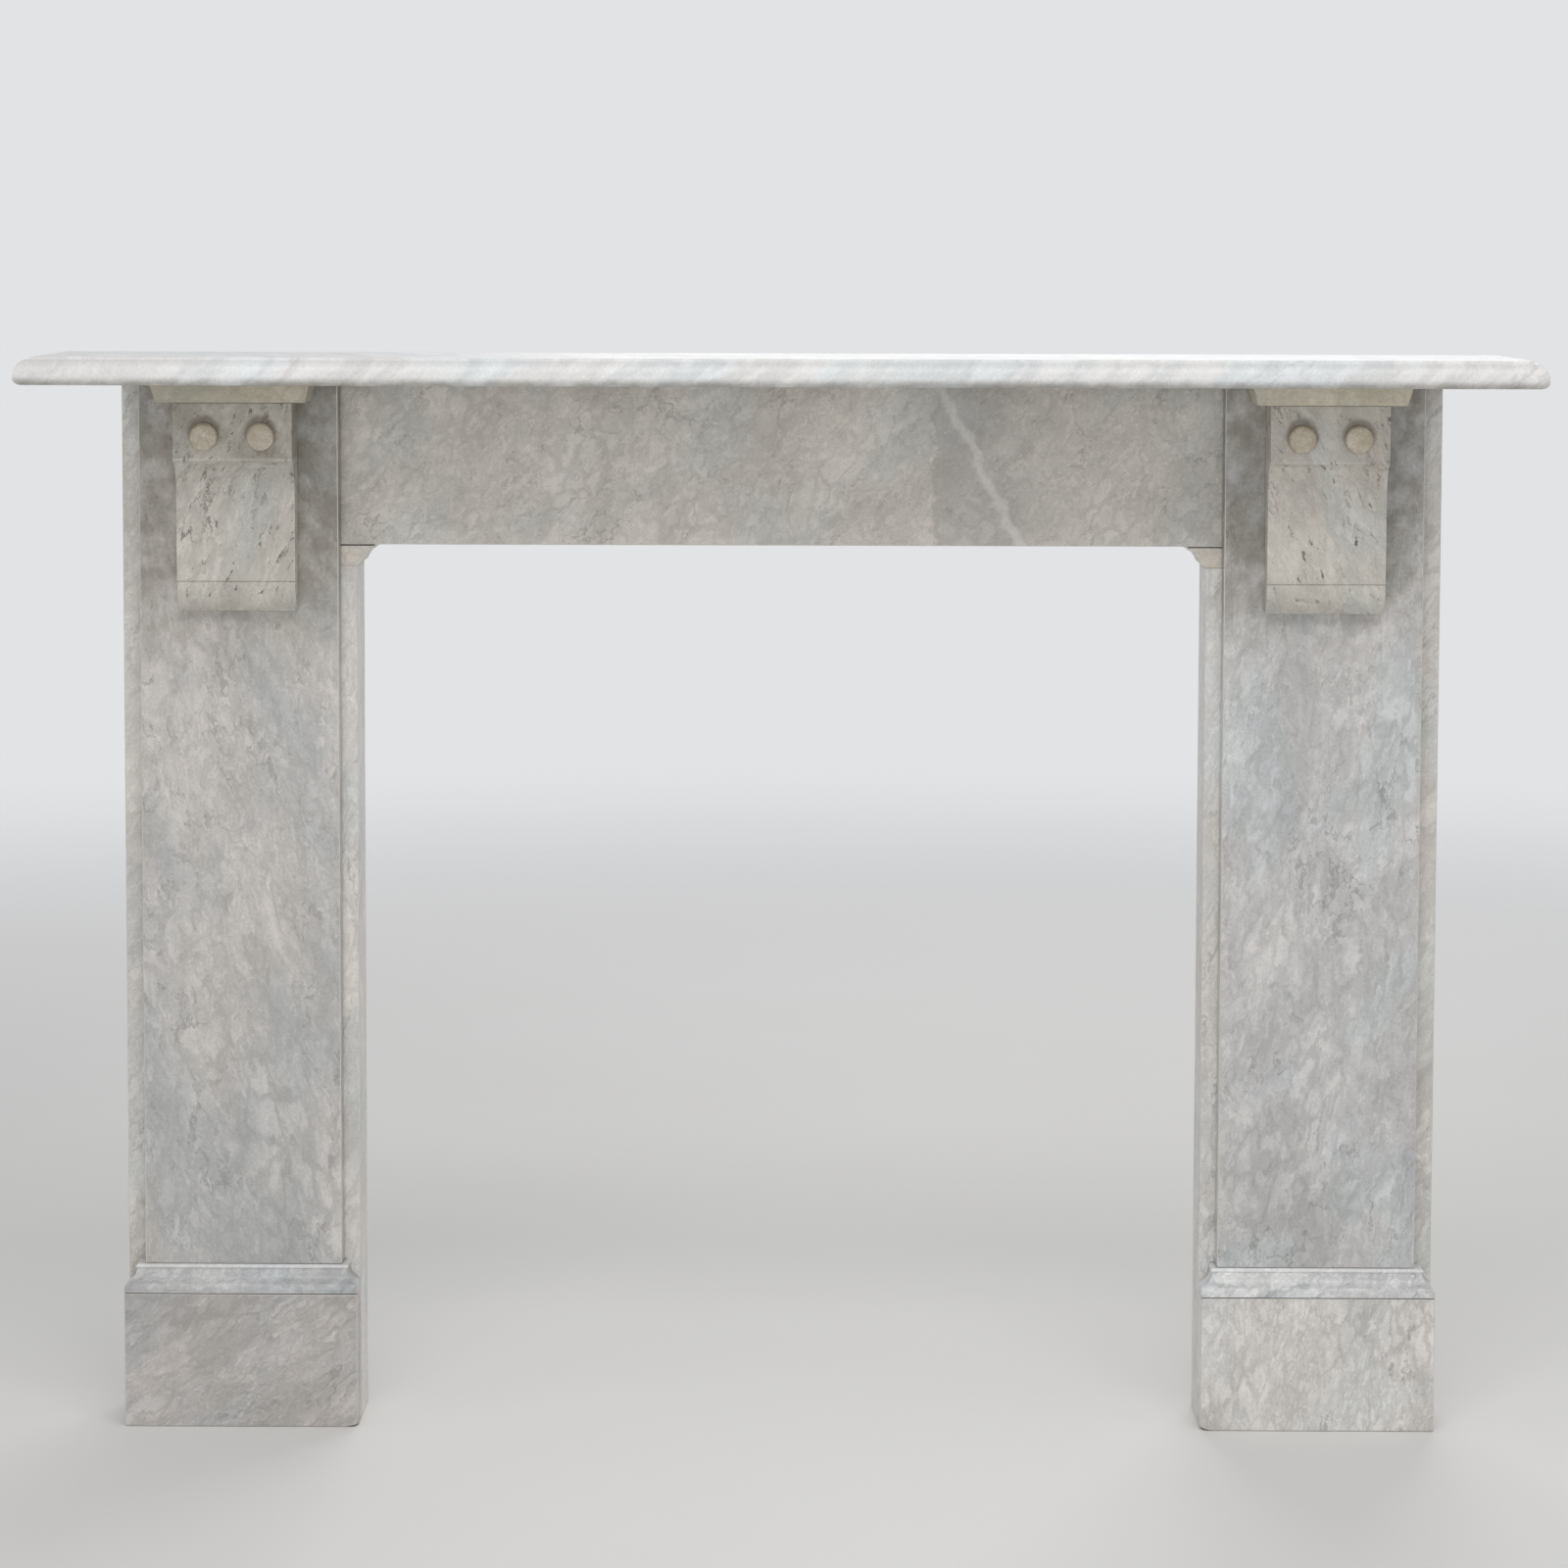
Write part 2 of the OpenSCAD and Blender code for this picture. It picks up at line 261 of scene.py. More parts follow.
def figure(tree, pale, grey, vein, start, turn=(0, 0, 0), stretch=(1, 1, 1), cell_mm=24,
           clouds=1.0, net=0.5, threads=0.5, flecks=0.0):
    """The marble's own markings, in stone of two tones. Clouds run through it at every size.
    Hazy grey walls part paler cells, with finer walls inside them, and broken dark threads and
    flecks follow the walls. Start, turn and stretch set where in the block the piece was cut and
    how its streaks lie. Clouds sets how crisp the clouds are, and net, threads and flecks how
    strong each of those is. Gives the colour and the place."""
    place = add_node(tree, "ShaderNodeTexCoord").outputs["Object"]
    along = add_node(
        tree, "ShaderNodeMapping",
        {"Vector": place, "Location": start, "Rotation": [radians(a) for a in turn],
         "Scale": stretch},
        vector_type="TEXTURE",
    ).outputs[0]

    # A sway that bends all the markings, as the stone once flowed
    sway = add_node(
        tree, "ShaderNodeTexNoise",
        {"Vector": along, "Scale": 1 / (2.6 * cell_mm * MM), "Detail": 6.0, "Roughness": 0.68},
    )
    sway_middle = add_node(
        tree, "ShaderNodeVectorMath", {0: sway.outputs["Color"], 1: (0.5, 0.5, 0.5)},
        operation="SUBTRACT",
    )
    sway_size = add_node(
        tree, "ShaderNodeVectorMath",
        {0: sway_middle.outputs[0], "Scale": 3.0 * cell_mm * MM}, operation="SCALE",
    )
    swayed = add_node(
        tree, "ShaderNodeVectorMath", {0: along, 1: sway_size.outputs[0]}, operation="ADD"
    ).outputs[0]

    # Clouds of every size, from the pale tone to the grey one
    cloud_spread = 0.11 / clouds
    cloud = add_node(
        tree, "ShaderNodeTexNoise",
        {"Vector": swayed, "Scale": 1 / (4 * cell_mm * MM), "Detail": 7.0, "Roughness": 0.86},
    )
    cloud_depth = add_node(
        tree, "ShaderNodeMapRange",
        {"Value": cloud.outputs["Fac"], "From Min": 0.5 - cloud_spread,
         "From Max": 0.5 + cloud_spread},
    )
    ground = add_node(
        tree, "ShaderNodeMix",
        {0: cloud_depth.outputs["Result"], 6: srgb(pale), 7: srgb(grey)}, data_type="RGBA",
    ).outputs[2]

    # Walls round large and small cells: their size, width and depth, and where each kind fades
    where = add_node(
        tree, "ShaderNodeTexNoise",
        {"Vector": along, "Scale": 1 / (3.4 * cell_mm * MM), "Detail": 4.0, "Roughness": 0.6},
    )
    colour = ground
    for size, wide, deep, low, high in (
        (1.0, 0.22, net, 0.42, 0.60), (0.46, 0.26, 0.7 * net, 0.58, 0.42)
    ):
        cells = add_node(
            tree, "ShaderNodeTexVoronoi", {"Vector": swayed, "Scale": 1 / (size * cell_mm * MM)},
            feature="DISTANCE_TO_EDGE",
        )
        wall = add_node(
            tree, "ShaderNodeMapRange",
            {"Value": cells.outputs["Distance"], "From Min": 0.0, "From Max": wide,
             "To Min": deep, "To Max": 0.0},
            interpolation_type="SMOOTHSTEP",
        )
        fade = add_node(
            tree, "ShaderNodeMapRange",
            {"Value": where.outputs["Fac"], "From Min": low, "From Max": high,
             "To Min": 0.1, "To Max": 1.0},
        )
        wall_depth = add_node(
            tree, "ShaderNodeMath", {0: wall.outputs["Result"], 1: fade.outputs["Result"]},
            operation="MULTIPLY",
        )
        colour = add_node(
            tree, "ShaderNodeMix", {0: wall_depth.outputs[0], 6: colour, 7: srgb(vein)},
            data_type="RGBA",
        ).outputs[2]

    # Broken threads along the crests of a ripple, and small flecks
    ripple = add_node(
        tree, "ShaderNodeTexNoise",
        {"Vector": swayed, "Scale": 1 / (1.7 * cell_mm * MM), "Detail": 2.5, "Roughness": 0.6},
    )
    crest = add_node(
        tree, "ShaderNodeMath", {0: ripple.outputs["Fac"], 1: 0.5}, operation="SUBTRACT"
    )
    crest_size = add_node(tree, "ShaderNodeMath", {0: crest.outputs[0]}, operation="ABSOLUTE")
    thread = add_node(
        tree, "ShaderNodeMapRange",
        {"Value": crest_size.outputs[0], "From Min": 0.002, "From Max": 0.022,
         "To Min": threads, "To Max": 0.0},
        interpolation_type="SMOOTHSTEP",
    )
    thread_where = add_node(
        tree, "ShaderNodeMapRange",
        {"Value": sway.outputs["Fac"], "From Min": 0.47, "From Max": 0.60},
    )
    thread_depth = add_node(
        tree, "ShaderNodeMath",
        {0: thread.outputs["Result"], 1: thread_where.outputs["Result"]}, operation="MULTIPLY",
    )
    speck = add_node(
        tree, "ShaderNodeTexNoise",
        {"Vector": swayed, "Scale": 1 / (0.42 * cell_mm * MM), "Detail": 2.0, "Roughness": 0.5},
    )
    fleck = add_node(
        tree, "ShaderNodeMapRange",
        {"Value": speck.outputs["Fac"], "From Min": 0.62, "From Max": 0.74,
         "To Min": 0.0, "To Max": flecks},
        interpolation_type="SMOOTHSTEP",
    )
    dark = add_node(
        tree, "ShaderNodeMath", {0: thread_depth.outputs[0], 1: fleck.outputs["Result"]},
        operation="MAXIMUM",
    )
    threaded = add_node(
        tree, "ShaderNodeMix", {0: dark.outputs[0], 6: colour, 7: srgb(vein)}, data_type="RGBA"
    ).outputs[2]

    # Patches a shade warmer or cooler
    tint_noise = add_node(
        tree, "ShaderNodeTexNoise",
        {"Vector": swayed, "Scale": 1 / (90 * MM), "Detail": 2.0},
    )
    tint_depth = add_node(
        tree, "ShaderNodeMapRange",
        {"Value": tint_noise.outputs["Fac"], "From Min": 0.47, "From Max": 0.60},
    )
    tint = add_node(
        tree, "ShaderNodeMix",
        {0: tint_depth.outputs["Result"], 6: srgb("fffdfb"), 7: srgb("fafdfe")}, data_type="RGBA",
    )
    tinted = add_node(
        tree, "ShaderNodeMix", {0: 1.0, 6: threaded, 7: tint.outputs[2]},
        data_type="RGBA", blend_type="MULTIPLY",
    ).outputs[2]
    return tinted, place


def honed(tree, colour, place, roughness, grime_and_shade=0.6, smoke_and_shade=None):
    """The surface of the stone: sugary crystals, grime and painted shade in the joints, saw marks
    on the faces that turn to the wall, and a soft honed shine. Smoke stain and painted shade darken
    it in patches, from none at one height to its full depth at another."""
    # Smoke stain and painted shade, darker in blotches from one height to another
    if smoke_and_shade:
        smoke_shade_foot, smoke_shade_full, smoke_shade_depth = smoke_and_shade
        height = add_node(tree, "ShaderNodeSeparateXYZ", {0: place}).outputs["Z"]
        smoke_shade_patch = add_node(
            tree, "ShaderNodeTexNoise",
            {"Vector": place, "Scale": 1 / (34 * MM), "Detail": 5.0, "Roughness": 0.62},
        )
        smoke_shade_rise = add_node(
            tree, "ShaderNodeMapRange",
            {"Value": height, "From Min": smoke_shade_foot, "From Max": smoke_shade_full,
             "To Max": smoke_shade_depth},
            interpolation_type="SMOOTHSTEP",
        )
        smoke_shade_dark = add_node(
            tree, "ShaderNodeMapRange",
            {"Value": smoke_shade_patch.outputs["Fac"], "From Min": 0.36, "From Max": 0.58,
             "To Min": 0.3, "To Max": 1.0},
        )
        smoke_shade_size = add_node(
            tree, "ShaderNodeMath",
            {0: smoke_shade_rise.outputs["Result"], 1: smoke_shade_dark.outputs["Result"]},
            operation="MULTIPLY",
        )
        colour = add_node(
            tree, "ShaderNodeMix", {0: smoke_shade_size.outputs[0], 6: colour, 7: srgb("665c45")},
            data_type="RGBA",
        ).outputs[2]

    # Crystals a shade apart, drawn several times as coarse as the real ones so that they show
    crystal = add_node(
        tree, "ShaderNodeTexVoronoi", {"Vector": place, "Scale": 1 / (1.6 * MM)}
    )
    crystal_tone = add_node(
        tree, "ShaderNodeMapRange",
        {"Value": crystal.outputs["Color"], "To Min": 0.925, "To Max": 1.075},
    )
    grained = add_node(
        tree, "ShaderNodeMix", {0: 1.0, 6: colour, 7: crystal_tone.outputs["Result"]},
        data_type="RGBA", blend_type="MULTIPLY",
    ).outputs[2]
    grain = add_node(
        tree, "ShaderNodeTexNoise",
        {"Vector": place, "Scale": 1 / (2.2 * MM), "Detail": 3.0, "Roughness": 0.7},
    )

    # Saw marks and dust on the faces that turn to the wall
    turned = add_node(tree, "ShaderNodeTexCoord").outputs["Normal"]
    facing = add_node(tree, "ShaderNodeSeparateXYZ", {0: turned})
    back = add_node(
        tree, "ShaderNodeMapRange",
        {"Value": facing.outputs["Y"], "From Min": 0.7, "From Max": 0.95},
    ).outputs["Result"]
    saw = add_node(
        tree, "ShaderNodeTexWave",
        {"Vector": place, "Scale": 1 / (60 * MM), "Distortion": 1.5, "Detail": 2.0},
        bands_direction="Z",
    )
    saw_tone = add_node(
        tree, "ShaderNodeMix",
        {0: saw.outputs["Fac"], 6: srgb("b9b6ae"), 7: srgb("c9c6be")}, data_type="RGBA",
    )
    back_tone = add_node(
        tree, "ShaderNodeMix", {0: 0.55, 6: grained, 7: saw_tone.outputs[2]}, data_type="RGBA"
    )
    both = add_node(
        tree, "ShaderNodeMix", {0: back, 6: grained, 7: back_tone.outputs[2]}, data_type="RGBA"
    ).outputs[2]

    # Grime and painted shade in the joints and inner corners, where the stone is sheltered
    shelter = add_node(tree, "ShaderNodeAmbientOcclusion", {"Distance": 5 * MM}, samples=8)
    crevice_grime_shade = add_node(
        tree, "ShaderNodeMapRange",
        {"Value": shelter.outputs["AO"], "From Min": 0.34, "From Max": 0.72,
         "To Min": grime_and_shade, "To Max": 0.0},
        interpolation_type="SMOOTHSTEP",
    )
    grimy_and_shaded = add_node(
        tree, "ShaderNodeMix",
        {0: crevice_grime_shade.outputs["Result"], 6: both, 7: srgb("57534a")}, data_type="RGBA",
    ).outputs[2]

    # A soft shine that the grain breaks up, duller on the sawn faces
    shine = add_node(
        tree, "ShaderNodeMapRange",
        {"Value": grain.outputs["Fac"], "From Min": 0.3, "From Max": 0.7,
         "To Min": roughness - 0.06, "To Max": roughness + 0.08},
    )
    dull_back = add_node(
        tree, "ShaderNodeMath", {0: back, 1: 0.3, 2: shine.outputs["Result"]},
        operation="MULTIPLY_ADD",
    )
    relief = add_node(
        tree, "ShaderNodeBump",
        {"Height": grain.outputs["Fac"], "Strength": 0.25, "Distance": 0.25 * MM},
    )
    shader = add_node(
        tree, "ShaderNodeBsdfPrincipled",
        {"Base Color": grimy_and_shaded, "Roughness": dull_back.outputs[0], "IOR": 1.5,
         "Normal": relief.outputs[0]},
    )
    add_node(tree, "ShaderNodeOutputMaterial", {"Surface": shader.outputs[0]})


# Bruised stone with a painted highlight: where an arris has been rubbed and knocked, the crystals
# are crushed and show whiter and duller than the honed face, and the whiter tone is also a
# painted highlight along the arris.
bruised_and_highlit, tree = new_material("bruised_highlit_carrara_arris")
bruise_place = add_node(tree, "ShaderNodeTexCoord").outputs["Object"]
bruise_noise = add_node(
    tree, "ShaderNodeTexNoise", {"Vector": bruise_place, "Scale": 1 / (14 * MM), "Detail": 4.0}
)
bruise_and_highlight_tone = add_node(
    tree, "ShaderNodeMix",
    {0: bruise_noise.outputs["Fac"], 6: srgb("c4c1b9"), 7: srgb("e2e0da")}, data_type="RGBA",
)
honed(tree, bruise_and_highlight_tone.outputs[2], bruise_place, roughness=0.55)

# Plinth marble: wispy grey streaks that lean up to the right on the left block and stand nearly
# upright on the right one.
for side, lean, start, pale, grey in (
    ("left", 52, (0.31, 0, 0.22), "d2cecb", "b8b5b2"),
    ("right", 8, (1.7, 0.4, 0.9), "f0ede9", "d9d6d2"),
):
    plinth_marble, tree = new_material(f"{side}_plinth_carrara")
    colour, place = figure(
        tree, pale=pale, grey=grey, vein="8e8b88", start=start, turn=(0, lean, 0),
        stretch=(0.8, 1, 1.8), cell_mm=20, clouds=1.6, net=0.36, threads=0.6,
    )
    honed(tree, colour, place, roughness=0.42)
    node = f"{side}_plinth"
    low, high = [Vector(c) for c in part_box(node)]
    bm = sawn_slab(node)
    inner_toe = Vector((high.x if side == "left" else low.x, low.y, low.z))
    knock_corner(bm, inner_toe, (low + high) / 2, reach=11 * MM, depth=5 * MM)
    finish_piece(f"{side}_plinth_block", bm, [node], [plinth_marble, bruised_and_highlit])

# --- Returns ----------------------------------------------------------------------------------
# Four slabs on edge that run back from the front of each jamb to the wall: the inner ones line
# the opening and stop under the caps, the outer ones run up to the shelf. They are honed Carrara.

# Return marble: pale grey-white with soft walls drawn out along the slab, which keeps the narrow
# edges quiet. The outer slabs are yellower and greyer.
for side, shift in (("left", 0.0), ("right", 2.3)):
    for which, pale, grey, lean in (
        ("inner", "f0eeeb", "d8d7d4", 12), ("outer", "f0ede8", "d0cdc8", 28)
    ):
        return_marble, tree = new_material(f"{side}_{which}_return_carrara")
        colour, place = figure(
            tree, pale=pale, grey=grey, vein="88857f", start=(shift + lean * 0.1, 0.7, 0.2),
            turn=(0, lean, 0), stretch=(1, 1.4, 2.0), cell_mm=24, net=0.28, threads=0.4,
        )
        honed(tree, colour, place, roughness=0.42, grime_and_shade=0.35)
        node = f"{side}_{which}_return"
        finish_piece(f"{side}_{which}_return_slab", sawn_slab(node), [node],
                     [return_marble, bruised_and_highlit])

# --- Base mouldings ---------------------------------------------------------------------------
# One length of white Carrara on top of each plinth, worked with a nose, a hollow and a small
# bead, and mitred round the front and both ends. The pilaster stands on it.
ARC_STEPS = 10


def arc(centre, radii, start, end, steps=ARC_STEPS):
    """Points of an arc, as (how far in, height), between two angles in degrees."""
    return [
        (centre[0] + radii[0] * cos(radians(start + (end - start) * i / steps)),
         centre[1] + radii[1] * sin(radians(start + (end - start) * i / steps)))
        for i in range(steps + 1)
    ]


def mitred_block(box, profile):
    """A block moulded on its front and both ends. The profile is (how far in from the outermost
    face, height above the foot), from the bottom up. It is drawn once at the back of the left
    end, then pushed along the left end, the front and the right end, with a shear at each
    corner that makes the mitre."""
    low, high = [Vector(c) for c in box]
    length, depth = high.x - low.x, high.y - low.y
    bm = bmesh.new()
    points = [bm.verts.new((inset, 0, height)) for inset, height in profile]
    chain = [bm.edges.new(pair) for pair in zip(points, points[1:])]
    left_back = chain
    lean = Matrix(((1, 0, 0, 0), (1, 1, 0, 0), (0, 0, 1, 0), (0, 0, 0, 1)))
    for move in (
        Matrix.Translation((0, -depth, 0)) @ lean,
        Matrix.Translation((length, 0, 0)) @ Matrix.Scale(-1, 4, (1, 0, 0)),
        Matrix.Scale(0, 4, (0, 1, 0)),
    ):
        made = bmesh.ops.extrude_edge_only(bm, edges=chain)["geom"]
        points = [g for g in made if isinstance(g, bmesh.types.BMVert)]
        chain = [
            g for g in made
            if isinstance(g, bmesh.types.BMEdge) and all(v in points for v in g.verts)
        ]
        bmesh.ops.transform(bm, matrix=move, verts=points)
    bmesh.ops.bridge_loops(bm, edges=left_back + chain)
    bmesh.ops.holes_fill(bm, edges=[e for e in bm.edges if e.is_boundary], sides=0)
    bmesh.ops.translate(bm, vec=(low.x, high.y, low.z), verts=bm.verts)
    bmesh.ops.recalc_face_normals(bm, faces=bm.faces)
    for axis in range(2):
        cut_across(bm, axis)
    return bm


TIGHT_JOINT = 0.8 * MM  # a joint that shows as a dark line under a moulding
MOULD_HEIGHT, DRAW_IN, FACE = 29 * MM, 14 * MM, 5 * MM
SWELL_IN, SWELL_UP, SWELL_TURN = 6 * MM, 7 * MM, 60  # the nose: its radii, and how far it turns
BEAD, BEAD_IN, BEAD_LIP, BEAD_TOP = 5 * MM, 3.2 * MM, 50, 70

# The hollow starts where the nose ends, and stands upright where it meets the bead.
meet_in = SWELL_IN * (1 - cos(radians(SWELL_TURN)))
meet_up = FACE + SWELL_UP * sin(radians(SWELL_TURN))
hollow_in = DRAW_IN - BEAD_IN * cos(radians(BEAD_LIP))
hollow_top = MOULD_HEIGHT - BEAD / 2 * (1 + sin(radians(BEAD_LIP)))
hollow_radii = (
    (hollow_in - meet_in) / (1 - cos(radians(SWELL_TURN))),
    (hollow_top - meet_up) / sin(radians(SWELL_TURN)),
)
base_profile = (
    [(0, TIGHT_JOINT)]
    + arc((SWELL_IN, FACE), (-SWELL_IN, SWELL_UP), 0, SWELL_TURN, 6)
    + arc((hollow_in - hollow_radii[0], hollow_top), hollow_radii, -SWELL_TURN, 0)[1:]
    + arc((DRAW_IN, MOULD_HEIGHT - BEAD / 2), (-BEAD_IN, BEAD / 2), -BEAD_LIP, BEAD_TOP, 8)[1:]
    + [(DRAW_IN, MOULD_HEIGHT)]
)
bead_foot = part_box("left_base_mould")[1][2] - BEAD

# Base moulding marble: cool white with grey blotches, a little polished. The bead along the top
# is whiter: rubbed, and with a painted highlight.
for side, start, pale, grey in (
    ("left", (0.4, 0.1, 0.5), "d8d9d9", "babbbc"), ("right", (2.9, 0.2, 0.8), "fafbfb", "d8dadb")
):
    base_marble, tree = new_material(f"{side}_base_mould_carrara")
    colour, place = figure(
        tree, pale=pale, grey=grey, vein="8c8e90", start=start, turn=(0, 55, 0),
        stretch=(1, 1, 1.6), cell_mm=26, clouds=1.3, net=0.5, threads=0.4,
    )
    # Rubbed wear and a painted highlight whiten the bead along the top
    height = add_node(tree, "ShaderNodeSeparateXYZ", {0: place}).outputs["Z"]
    rubbed_and_highlit = add_node(
        tree, "ShaderNodeMapRange",
        {"Value": height, "From Min": bead_foot, "From Max": bead_foot + 2 * MM, "To Max": 0.5},
        interpolation_type="SMOOTHSTEP",
    )
    colour = add_node(
        tree, "ShaderNodeMix", {0: rubbed_and_highlit.outputs["Result"], 6: colour, 7: srgb("fbfbfa")},
        data_type="RGBA",
    ).outputs[2]
    honed(tree, colour, place, roughness=0.33, grime_and_shade=0.8)
    node = f"{side}_base_mould"
    finish_piece(f"{side}_base_moulding", mitred_block(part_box(node), base_profile), [node],
                 [base_marble, bruised_and_highlit], wear=0.35)

# --- Pilasters --------------------------------------------------------------------------------
# The broad front slabs of the jambs, in honed grey-white Carrara with a net of fine grey veins
# round paler patches. They stand on the base mouldings and cover the fronts of the returns.

# Pilaster marble: upright wispy patches between fine veins, with scattered dark threads. Smoke
# stain and painted shade from the shelf darken the top of each slab in blotches.
for side, start, lean, pale, grey in (
    ("left", (0.2, 0, 0.1), -12, "dcd8d4", "bebcb9"),
    ("right", (5.2, 0.3, 1.4), 10, "e0dfde", "c1c1c1"),
):
    pilaster_marble, tree = new_material(f"{side}_pilaster_carrara")
    colour, place = figure(
        tree, pale=pale, grey=grey, vein="8b8a87", start=start, turn=(0, lean, 0),
        stretch=(1, 1, 2.0), cell_mm=23, clouds=1.3, net=0.33, threads=0.6, flecks=0.35,
    )
    # Painted shade under the shelf, with smoke stain, darkens the top of the slab
    honed(tree, colour, place, roughness=0.40, grime_and_shade=0.35, smoke_and_shade=(0.74, 0.94, 0.6))
    node = f"{side}_pilaster"
    finish_piece(f"{side}_pilaster_slab", sawn_slab(node), [node],
                 [pilaster_marble, bruised_and_highlit])

# --- Return caps ------------------------------------------------------------------------------
# Small moulded caps of cream marble on top of the inner returns: a shallow hollow between a bead
# and a fillet, that runs straight back to the wall. The ends of the frieze are over them, with an
# open joint.
def extruded(outline, push):
    """A bmesh of a closed outline of points, pushed straight out into a solid."""
    bm = bmesh.new()
    face = bm.faces.new([bm.verts.new(p) for p in outline])
    made = bmesh.ops.extrude_face_region(bm, geom=[face], use_keep_orig=True)["geom"]
    verts = [g for g in made if isinstance(g, bmesh.types.BMVert)]
    bmesh.ops.translate(bm, vec=push, verts=verts)
    bmesh.ops.recalc_face_normals(bm, faces=bm.faces)
    return bm


OPEN_JOINT = 1.4 * MM  # the gap between a return cap and the frieze
STRIP = 25 * MM  # how much of the cap lies over its return
CAP_BEAD, CAP_BEAD_OUT, CAP_FILLET, EASE = 3 * MM, 4 * MM, 4.5 * MM, 1 * MM
HOLLOW_START, HOLLOW_END = 25, 65

# Return cap marble: smooth cream with hardly a vein.
for side, start in (("left", (0.1, 0.3, 0.7)), ("right", (1.9, 0.6, 0.3))):
    cap_marble, tree = new_material(f"{side}_return_cap_cream")
    colour, place = figure(
        tree, pale="e8e3da", grey="dad5cb", vein="989385", start=start, cell_mm=14, net=0.25,
        threads=0.25,
    )
    honed(tree, colour, place, roughness=0.45, grime_and_shade=0.7)
    node = f"{side}_return_cap"
    low, high = [Vector(c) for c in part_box(node)]
    high.z -= OPEN_JOINT
    out, rise = high.x - low.x, high.z - low.z
    fillet = CAP_FILLET - OPEN_JOINT
    start_cos, start_sin = cos(radians(HOLLOW_START)), sin(radians(HOLLOW_START))
    end_cos, end_sin = cos(radians(HOLLOW_END)), sin(radians(HOLLOW_END))
    hollow = (
        -(out - STRIP - CAP_BEAD_OUT - EASE) / (start_cos - end_cos),
        (rise - CAP_BEAD - fillet) / (end_sin - start_sin),
    )
    middle = (STRIP + CAP_BEAD_OUT - hollow[0] * start_cos, CAP_BEAD - hollow[1] * start_sin)
    profile = (
        [(0, 0), (STRIP, 0), (STRIP + CAP_BEAD_OUT - EASE, CAP_BEAD)]
        + arc(middle, hollow, HOLLOW_START, HOLLOW_END)
        + [(out, rise - fillet), (out, rise), (0, rise)]
    )
    if side == "left":
        outline = [(low.x + x, low.y, low.z + z) for x, z in profile]
    else:
        outline = [(high.x - x, low.y, low.z + z) for x, z in profile]
    bm = extruded(outline, (0, high.y - low.y, 0))
    cut_across(bm, 1)
    finish_piece(f"{side}_return_moulded_cap", bm, [node], [cap_marble, bruised_and_highlit],
                 wear=0.25)

# --- Frieze -----------------------------------------------------------------------------------
# One slab of honed grey-beige Carrara across the top of the opening, on the return caps and
# between the pilasters. Its right third is a darker grey cloud with a pale vein across it.
PATCH_START, PATCH_EDGE = 0.178, 6 * MM  # where the dark cloud starts, and how sharply
PATCH_FADE_START, PATCH_FADE_END = 0.21, 0.38
VEIN_TOP, VEIN_LEAN = (0.168, 0, 1.082), -27.6  # a place on the pale vein, and its lean

# Frieze marble: warm grey mottling with thin curving threads. The darker cloud starts at a sharp
# edge and fades out towards the right end, and a soft pale vein crosses it.
frieze_marble, tree = new_material("frieze_carrara")
colour, place = figure(
    tree, pale="e4dfd8", grey="c9c5be", vein="8b8883", start=(0.3, 0.2, 0.6), turn=(0, 38, 0),
    stretch=(1, 1, 1.4), cell_mm=20, clouds=1.2, net=0.28, threads=0.55, flecks=0.3,
)
patch_edge = add_node(
    tree, "ShaderNodeTexNoise",
    {"Vector": place, "Scale": 1 / (26 * MM), "Detail": 4.0, "Roughness": 0.6},
)
across = add_node(tree, "ShaderNodeSeparateXYZ", {0: place}).outputs["X"]
swayed_across = add_node(
    tree, "ShaderNodeMath", {0: patch_edge.outputs["Fac"], 1: 45 * MM, 2: across},
    operation="MULTIPLY_ADD",
).outputs[0]
patch_start = add_node(
    tree, "ShaderNodeMapRange",
    {"Value": swayed_across, "From Min": PATCH_START, "From Max": PATCH_START + PATCH_EDGE,
     "To Max": 0.38},
    interpolation_type="SMOOTHSTEP",
)
patch_end = add_node(
    tree, "ShaderNodeMapRange",
    {"Value": swayed_across, "From Min": PATCH_FADE_START, "From Max": PATCH_FADE_END,
     "To Min": 1.0, "To Max": 0.1},
    interpolation_type="SMOOTHSTEP",
)
patch = add_node(
    tree, "ShaderNodeMath", {0: patch_start.outputs["Result"], 1: patch_end.outputs["Result"]},
    operation="MULTIPLY",
)
patched = add_node(
    tree, "ShaderNodeMix", {0: patch.outputs[0], 6: colour, 7: srgb("989694")},
    data_type="RGBA",
).outputs[2]
vein_place = add_node(
    tree, "ShaderNodeMapping",
    {"Vector": place, "Location": VEIN_TOP, "Rotation": (0, radians(VEIN_LEAN), 0)},
    vector_type="TEXTURE",
)
vein_across = add_node(tree, "ShaderNodeSeparateXYZ", {0: vein_place.outputs[0]}).outputs["X"]
vein_sway = add_node(
    tree, "ShaderNodeMath", {0: patch_edge.outputs["Fac"], 1: 30 * MM, 2: -15 * MM},
    operation="MULTIPLY_ADD",
)
vein_middle = add_node(
    tree, "ShaderNodeMath", {0: vein_across, 1: vein_sway.outputs[0]}, operation="ADD"
)
vein_off = add_node(tree, "ShaderNodeMath", {0: vein_middle.outputs[0]}, operation="ABSOLUTE")
pale_vein = add_node(
    tree, "ShaderNodeMapRange",
    {"Value": vein_off.outputs[0], "From Min": 2 * MM, "From Max": 8 * MM,
     "To Min": 0.5, "To Max": 0.0},
    interpolation_type="SMOOTHSTEP",
)
veined = add_node(
    tree, "ShaderNodeMix", {0: pale_vein.outputs["Result"], 6: patched, 7: srgb("e4e1db")},
    data_type="RGBA",
).outputs[2]
# A little smoke stain and painted shade darken the top of the frieze under the shelf
honed(tree, veined, place, roughness=0.42, grime_and_shade=0.8, smoke_and_shade=(1.0, 1.08, 0.07))
finish_piece("frieze_slab", sawn_slab("frieze"), ["frieze"],
             [frieze_marble, bruised_and_highlit])

